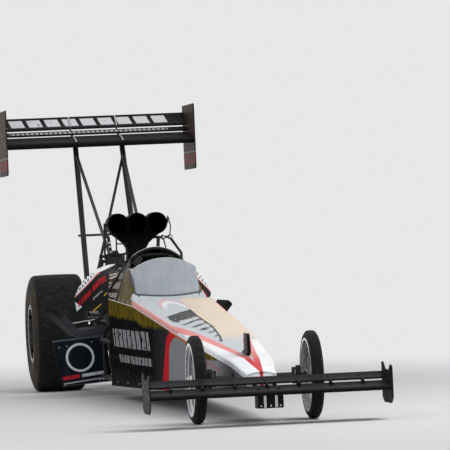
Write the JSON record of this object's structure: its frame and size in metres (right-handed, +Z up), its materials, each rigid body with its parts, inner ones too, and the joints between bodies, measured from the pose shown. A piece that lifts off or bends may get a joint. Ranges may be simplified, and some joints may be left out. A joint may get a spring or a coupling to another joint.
{
  "type": "drag racing car",
  "caption": "Long tube-framed drag racing car with an open cockpit, a supercharged engine behind it, wide slicks, small steered front wheels and two wings.",
  "frame": {"origin": "on the ground under the middle of the car", "axes": "-Y towards the nose, +X to the car's left, +Z up"},
  "size_m": [1.54, 9.49, 2.2609],
  "materials": {
    "deck_paint": "gloss paint on a composite shell",
    "cowl_paint": "gloss paint with dark camouflage",
    "side_paint": "gloss black with patterned areas",
    "carbon": "woven composite, satin",
    "windshield": "clear plastic, hazy from use",
    "black_paint": "gloss black, red foot",
    "frame_paint": "satin black tube",
    "cast_alloy": "cast, satin",
    "bare_steel": "turned",
    "billet": "machined",
    "blower_alloy": "ribbed casting",
    "exhaust": "heat coloured steel",
    "titanium": "spun, dull",
    "wing_carbon": "gloss black composite",
    "wing_plate": "brown black paint",
    "rubber": "small solid tyres",
    "canvas": "woven cloth, laced",
    "flare_paint": "gloss black, pale edge",
    "panel_paint": "dark blue black",
    "tyre": "slick, worn",
    "rim": "polished"
  },
  "bodies": {
    "chassis": {"axle_housing": "cast_alloy", "ballast_box": "black_paint", "belly_pan": "carbon", "blower_drive": "billet", "chute_shelf": "frame_paint", "clutch_can": "titanium", "cockpit_cowl": "cowl_paint", "cylinder_head_left": "billet", "cylinder_head_right": "billet", "engine_block": "billet", "frame_front": "frame_paint", "frame_rear": "frame_paint", "front_axle": "frame_paint", "front_wing": "wing_carbon", "front_wing_plate_left": "black_paint", "front_wing_plate_right": "black_paint", "headers_left": "exhaust", "headers_right": "exhaust", "injector_hat": "carbon", "nose_cowl": "deck_paint", "nose_fin": "black_paint", "parachute_pack_left": "canvas", "parachute_pack_right": "canvas", "rear_wing": "wing_carbon", "roll_cage": "frame_paint", "seat": "carbon", "shoulder_flare_left": "flare_paint", "shoulder_flare_right": "flare_paint", "side_panel_left": "side_paint", "side_panel_right": "side_paint", "steering_column": "black_paint", "supercharger": "blower_alloy", "tyre_deflector_left": "panel_paint", "tyre_deflector_right": "panel_paint", "wheelie_bar": "frame_paint", "windshield": "windshield", "wing_plate_left": "wing_plate", "wing_plate_right": "wing_plate", "wing_stand": "frame_paint"},
    "rear_wheels": {"axle_shaft": "bare_steel", "rear_rim_left": "rim", "rear_rim_right": "rim", "rear_tyre_left": "tyre", "rear_tyre_right": "tyre"},
    "knuckle_left": {"knuckle_left": "bare_steel"},
    "knuckle_right": {"knuckle_right": "bare_steel"},
    "tie_rod": {"tie_rod": "bare_steel"},
    "front_wheel_left": {"front_rim_left": "rim", "front_tyre_left": "tyre"},
    "front_wheel_right": {"front_rim_right": "rim", "front_tyre_right": "tyre"},
    "wheelie_wheels": {"wheelie_wheels": "rubber"}
  },
  "joints": [
    {"name": "rear_axle_spin", "type": "hinge", "parent": "chassis", "child": "rear_wheels", "pos_m": [0, 3.615, 0.464], "axis": [1, 0, 0], "continuous": true},
    {"name": "steer_left", "type": "hinge", "parent": "chassis", "child": "knuckle_left", "pos_m": [0.281, -4.005, 0.279], "axis": [0, 0, 1], "range_deg": [-20, 20]},
    {"name": "steer_right", "type": "hinge", "parent": "chassis", "child": "knuckle_right", "pos_m": [-0.281, -4.005, 0.279], "axis": [0, 0, 1], "range_deg": [-20, 20]},
    {"name": "tie_rod_slide", "type": "slide", "parent": "chassis", "child": "tie_rod", "axis": [1, 0, 0], "range_m": [-0.0421, 0.0421]},
    {"name": "front_spin_left", "type": "hinge", "parent": "knuckle_left", "child": "front_wheel_left", "pos_m": [0.369, -4.005, 0.279], "axis": [1, 0, 0], "continuous": true},
    {"name": "front_spin_right", "type": "hinge", "parent": "knuckle_right", "child": "front_wheel_right", "pos_m": [-0.369, -4.005, 0.279], "axis": [1, 0, 0], "continuous": true},
    {"name": "wheelie_spin", "type": "hinge", "parent": "chassis", "child": "wheelie_wheels", "pos_m": [0, 4.515, 0.13], "axis": [1, 0, 0], "continuous": true}
  ],
  "couplings": [
    {"joint": "steer_right", "follows": "steer_left", "ratio": 1},
    {"joint": "tie_rod_slide", "follows": "steer_left", "m_per_rad": -0.12}
  ]
}
